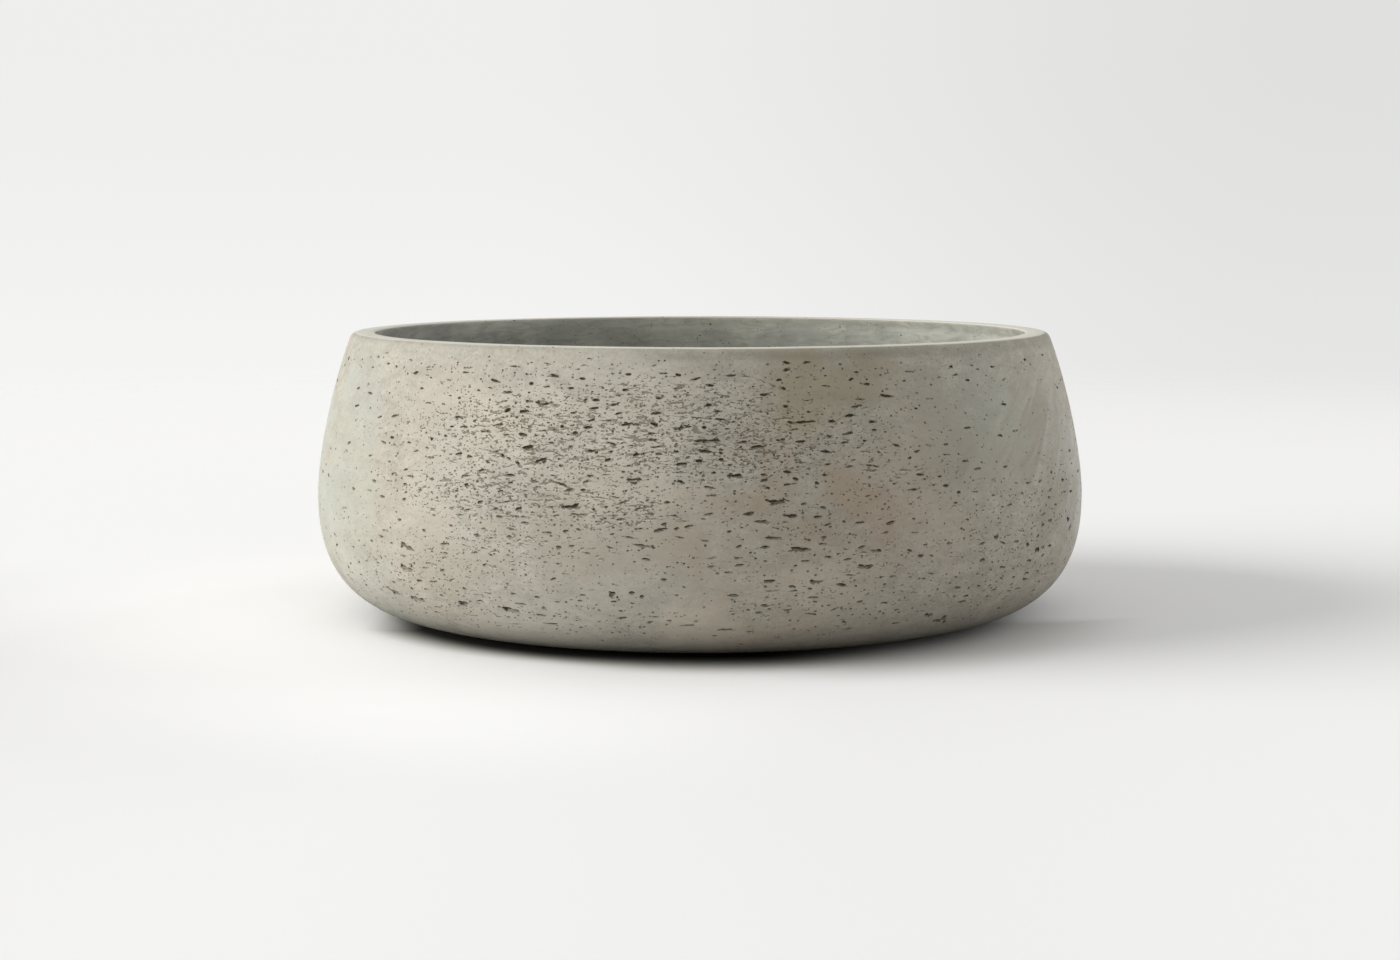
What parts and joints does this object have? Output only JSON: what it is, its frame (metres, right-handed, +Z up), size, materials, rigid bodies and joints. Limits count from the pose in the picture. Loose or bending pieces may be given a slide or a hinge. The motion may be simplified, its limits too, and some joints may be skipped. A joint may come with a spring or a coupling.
{
  "type": "bowl planter",
  "caption": "Low round cast fibre-cement bowl planter with a rounded heel, drawn-in shoulder and flat lip, rubber feet, and a rubber drain plug that lifts out of its floor.",
  "frame": {"origin": "on the ground plane, under the middle of the bowl", "axes": "+Z up along the bowl's axis; the bowl is round, so +X and +Y are any two level directions, with -Y towards the picture's camera"},
  "size_m": [0.45, 0.45, 0.165],
  "materials": {
    "fibre_cement": "matte",
    "plug_rubber": "satin",
    "foot_rubber": "matte"
  },
  "bodies": {
    "bowl": {"bowl_shell": "fibre_cement", "foot_pad_1": "foot_rubber", "foot_pad_2": "foot_rubber", "foot_pad_3": "foot_rubber", "foot_pad_4": "foot_rubber"},
    "plug": {"drain_plug": "plug_rubber"}
  },
  "joints": [
    {"name": "plug_lift", "type": "slide", "parent": "bowl", "child": "plug", "axis": [0, 0, 1], "range_m": [0, 0.18]}
  ]
}
